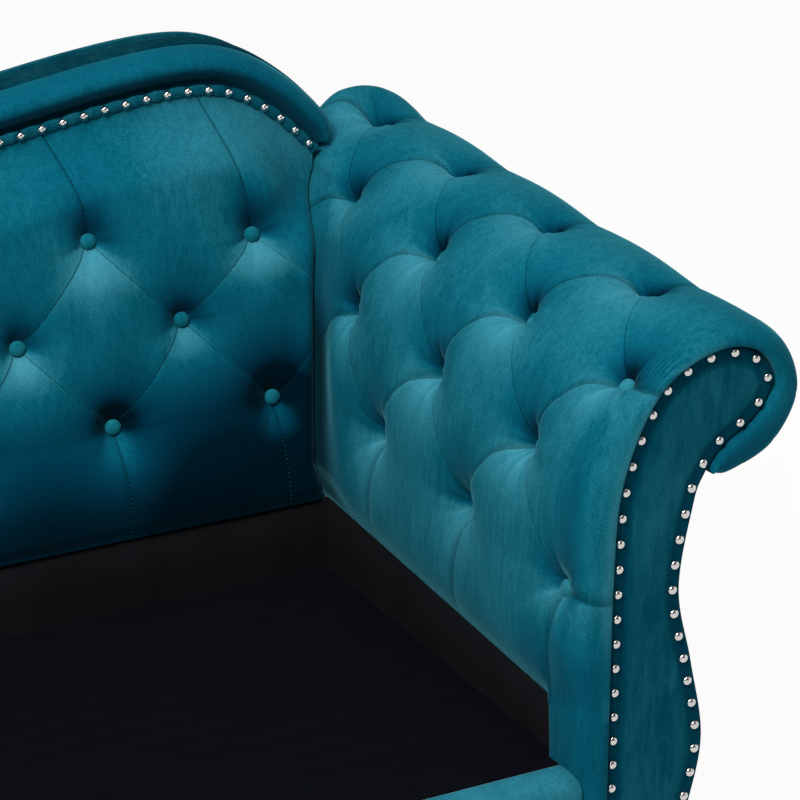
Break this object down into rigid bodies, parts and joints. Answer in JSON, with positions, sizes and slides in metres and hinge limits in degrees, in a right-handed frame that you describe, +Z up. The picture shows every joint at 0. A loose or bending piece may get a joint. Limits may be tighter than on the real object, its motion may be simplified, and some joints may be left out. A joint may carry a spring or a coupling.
{
  "type": "sofa",
  "caption": "Velvet sofa with deep-buttoned scroll arms, a raked tufted back under a serpentine crest, nailhead trim, turned legs and a bare black deck for a loose seat cushion.",
  "frame": {"origin": "on the floor under the middle of the sofa's box, level with the feet", "axes": "+X to the right as one faces the sofa, +Y towards its back, +Z up"},
  "size_m": [1.5962, 0.8744, 0.8828],
  "materials": {
    "teal_velvet": "short-pile teal velvet with a soft sheen",
    "black_cloth": "matt black woven lining cloth",
    "nailhead_nickel": "polished nickel nail heads",
    "dark_wood": "dark stained, satin lacquer",
    "pine": "sawn, unfinished",
    "hardboard": "smooth hardboard",
    "grey_felt": "pressed grey felt",
    "webbing": "woven elastic webbing",
    "steel": "drawn spring wire"
  },
  "bodies": {
    "root": {"back_lining_strip": "black_cloth", "back_rib_1": "pine", "back_rib_2": "pine", "back_rib_3": "pine", "back_rib_4": "pine", "back_seat_rail": "pine", "back_tack_rail": "pine", "back_tufted_pad": "teal_velvet", "back_webbing": "webbing", "centre_stretcher": "pine", "crest_border": "teal_velvet", "crest_gimp": "teal_velvet", "crest_rail": "pine", "deck_cloth": "black_cloth", "deck_pad": "grey_felt", "dust_cover": "black_cloth", "front_left_leg": "dark_wood", "front_left_leg_bolt": "steel", "front_rail_cover": "teal_velvet", "front_right_leg": "dark_wood", "front_right_leg_bolt": "steel", "front_seat_rail": "pine", "left_arm_former": "hardboard", "left_arm_front_board": "pine", "left_arm_front_panel": "teal_velvet", "left_arm_front_post_block": "pine", "left_arm_lining_strip": "black_cloth", "left_arm_post_cover": "teal_velvet", "left_arm_rear_board": "pine", "left_arm_rear_panel": "teal_velvet", "left_arm_tack_rail": "pine", "left_arm_top_rail": "pine", "left_arm_tufted_pad": "teal_velvet", "left_back_corner_block": "pine", "left_front_corner_block": "pine", "left_outer_arm_panel": "teal_velvet", "left_side_seat_rail": "pine", "outer_back_panel": "teal_velvet", "rear_base_rail": "pine", "rear_left_leg": "dark_wood", "rear_left_leg_bolt": "steel", "rear_right_leg": "dark_wood", "rear_right_leg_bolt": "steel", "right_arm_former": "hardboard", "right_arm_front_board": "pine", "right_arm_front_panel": "teal_velvet", "right_arm_front_post_block": "pine", "right_arm_lining_strip": "black_cloth", "right_arm_post_cover": "teal_velvet", "right_arm_rear_board": "pine", "right_arm_rear_panel": "teal_velvet", "right_arm_tack_rail": "pine", "right_arm_top_rail": "pine", "right_arm_tufted_pad": "teal_velvet", "right_back_corner_block": "pine", "right_front_corner_block": "pine", "right_outer_arm_panel": "teal_velvet", "right_side_seat_rail": "pine", "seat_springs": "steel"}
  },
  "joints": []
}
